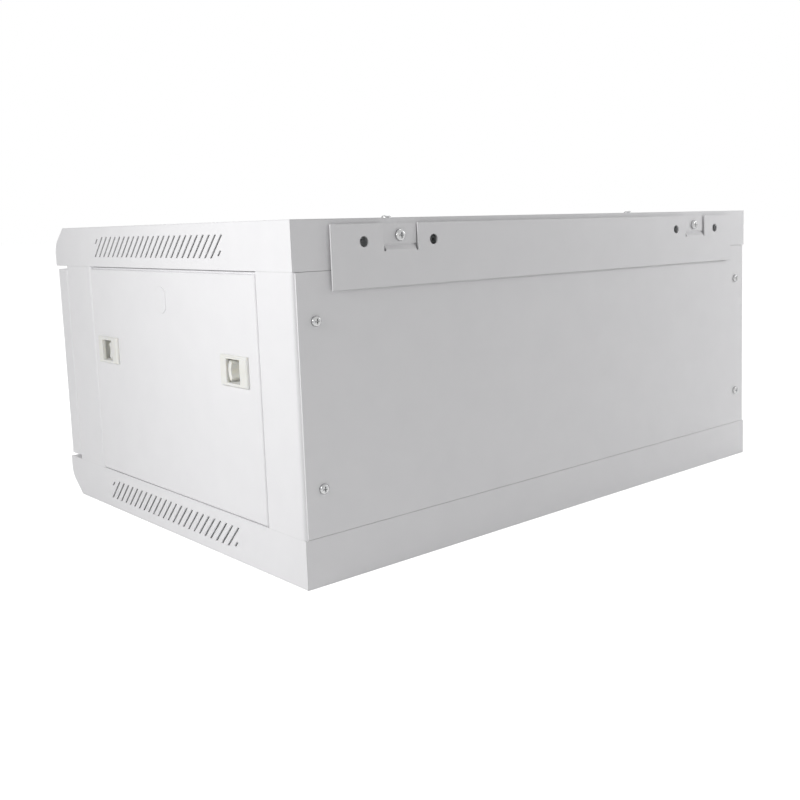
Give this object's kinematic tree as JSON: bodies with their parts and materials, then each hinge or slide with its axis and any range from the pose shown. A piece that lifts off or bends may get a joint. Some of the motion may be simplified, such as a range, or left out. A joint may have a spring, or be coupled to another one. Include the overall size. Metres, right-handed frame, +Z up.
{
  "type": "wall-mount rack cabinet",
  "caption": "Low wall-mount equipment cabinet of painted sheet steel with a glazed door, tilt-off side panels with sliding latches, vented covers, movable rack rails and a wall bracket.",
  "frame": {"origin": "centre of the underside of the cabinet", "axes": "+X to the right seen from the door, +Y to the rear towards the wall, +Z up"},
  "size_m": [0.606, 0.456, 0.2826],
  "materials": {
    "powder_coat": "fine-textured off-white powder coat",
    "zinc_steel": "bright zinc plate",
    "latch_plastic": "moulded cream plastic",
    "door_glass": "clear toughened glass",
    "seal_rubber": "matt black foam rubber",
    "lock_chrome": "polished chrome plate",
    "block_plastic": "moulded black plastic"
  },
  "bodies": {
    "cabinet": {"top_cover": "powder_coat", "bottom_cover": "powder_coat", "cover_screws": "zinc_steel", "top_entry_plate": "powder_coat", "top_entry_screws": "zinc_steel", "bottom_entry_plate": "powder_coat", "bottom_entry_screws": "zinc_steel", "back_panel": "powder_coat", "back_panel_screws": "zinc_steel", "wall_bracket": "powder_coat", "wall_bracket_screws": "zinc_steel", "beam_screws": "zinc_steel", "left_front_post": "powder_coat", "left_rear_post": "powder_coat", "left_upper_beam": "zinc_steel", "left_lower_beam": "zinc_steel", "right_front_post": "powder_coat", "right_rear_post": "powder_coat", "right_upper_beam": "zinc_steel", "right_lower_beam": "zinc_steel"},
    "door": {"door_frame": "powder_coat", "door_glass": "door_glass", "glass_seal": "seal_rubber", "glass_clips": "zinc_steel", "upper_hinge_block": "block_plastic", "lower_hinge_block": "block_plastic", "lock_body": "lock_chrome", "lock_nut": "zinc_steel"},
    "upper_pin": {"upper_hinge_pin": "zinc_steel"},
    "lower_pin": {"lower_hinge_pin": "zinc_steel"},
    "lock_rotor": {"lock_plug": "lock_chrome", "lock_cam": "zinc_steel"},
    "left_front_rack": {"left_front_rail": "zinc_steel", "left_front_rail_bolts": "zinc_steel"},
    "left_front_latch": {"left_front_latch_slider": "latch_plastic"},
    "left_rear_rack": {"left_rear_rail": "zinc_steel", "left_rear_rail_bolts": "zinc_steel"},
    "left_rear_latch": {"left_rear_latch_slider": "latch_plastic"},
    "left_panel": {"left_side_panel": "powder_coat", "left_front_latch_housing": "latch_plastic", "left_rear_latch_housing": "latch_plastic"},
    "right_front_rack": {"right_front_rail": "zinc_steel", "right_front_rail_bolts": "zinc_steel"},
    "right_front_latch": {"right_front_latch_slider": "latch_plastic"},
    "right_rear_rack": {"right_rear_rail": "zinc_steel", "right_rear_rail_bolts": "zinc_steel"},
    "right_rear_latch": {"right_rear_latch_slider": "latch_plastic"},
    "right_panel": {"right_side_panel": "powder_coat", "right_front_latch_housing": "latch_plastic", "right_rear_latch_housing": "latch_plastic"}
  },
  "joints": [
    {"name": "door_hinge", "type": "hinge", "parent": "cabinet", "child": "door", "pos_m": [-0.2937, -0.2125, 0.14], "axis": [0, 0, -1], "range_deg": [0, 180]},
    {"name": "upper_pin_slide", "type": "slide", "parent": "door", "child": "upper_pin", "axis": [0, 0, -1], "range_m": [0, 0.006], "stiffness_N_per_m": 500, "springref_m": -0.01},
    {"name": "lower_pin_slide", "type": "slide", "parent": "door", "child": "lower_pin", "axis": [0, 0, 1], "range_m": [0, 0.006], "stiffness_N_per_m": 500, "springref_m": -0.01},
    {"name": "lock_turn", "type": "hinge", "parent": "door", "child": "lock_rotor", "pos_m": [0.253, -0.205, 0.14], "axis": [0, -1, 0], "range_deg": [0, 90]},
    {"name": "left_front_rail_slide", "type": "slide", "parent": "cabinet", "child": "left_front_rack", "axis": [0, 1, 0], "range_m": [0, 0.1]},
    {"name": "left_front_latch_slide", "type": "slide", "parent": "left_panel", "child": "left_front_latch", "axis": [0, -1, 0], "range_m": [0, 0.005]},
    {"name": "left_rear_rail_slide", "type": "slide", "parent": "cabinet", "child": "left_rear_rack", "axis": [0, -1, 0], "range_m": [0, 0.1]},
    {"name": "left_rear_latch_slide", "type": "slide", "parent": "left_panel", "child": "left_rear_latch", "axis": [0, 1, 0], "range_m": [0, 0.005]},
    {"name": "left_panel_tilt", "type": "hinge", "parent": "cabinet", "child": "left_panel", "pos_m": [-0.3, 0.0155, 0.039], "axis": [0, -1, 0], "range_deg": [0, 40]},
    {"name": "right_front_rail_slide", "type": "slide", "parent": "cabinet", "child": "right_front_rack", "axis": [0, 1, 0], "range_m": [0, 0.1]},
    {"name": "right_front_latch_slide", "type": "slide", "parent": "right_panel", "child": "right_front_latch", "axis": [0, -1, 0], "range_m": [0, 0.005]},
    {"name": "right_rear_rail_slide", "type": "slide", "parent": "cabinet", "child": "right_rear_rack", "axis": [0, -1, 0], "range_m": [0, 0.1]},
    {"name": "right_rear_latch_slide", "type": "slide", "parent": "right_panel", "child": "right_rear_latch", "axis": [0, 1, 0], "range_m": [0, 0.005]},
    {"name": "right_panel_tilt", "type": "hinge", "parent": "cabinet", "child": "right_panel", "pos_m": [0.3, 0.0155, 0.039], "axis": [0, 1, 0], "range_deg": [0, 40]}
  ]
}
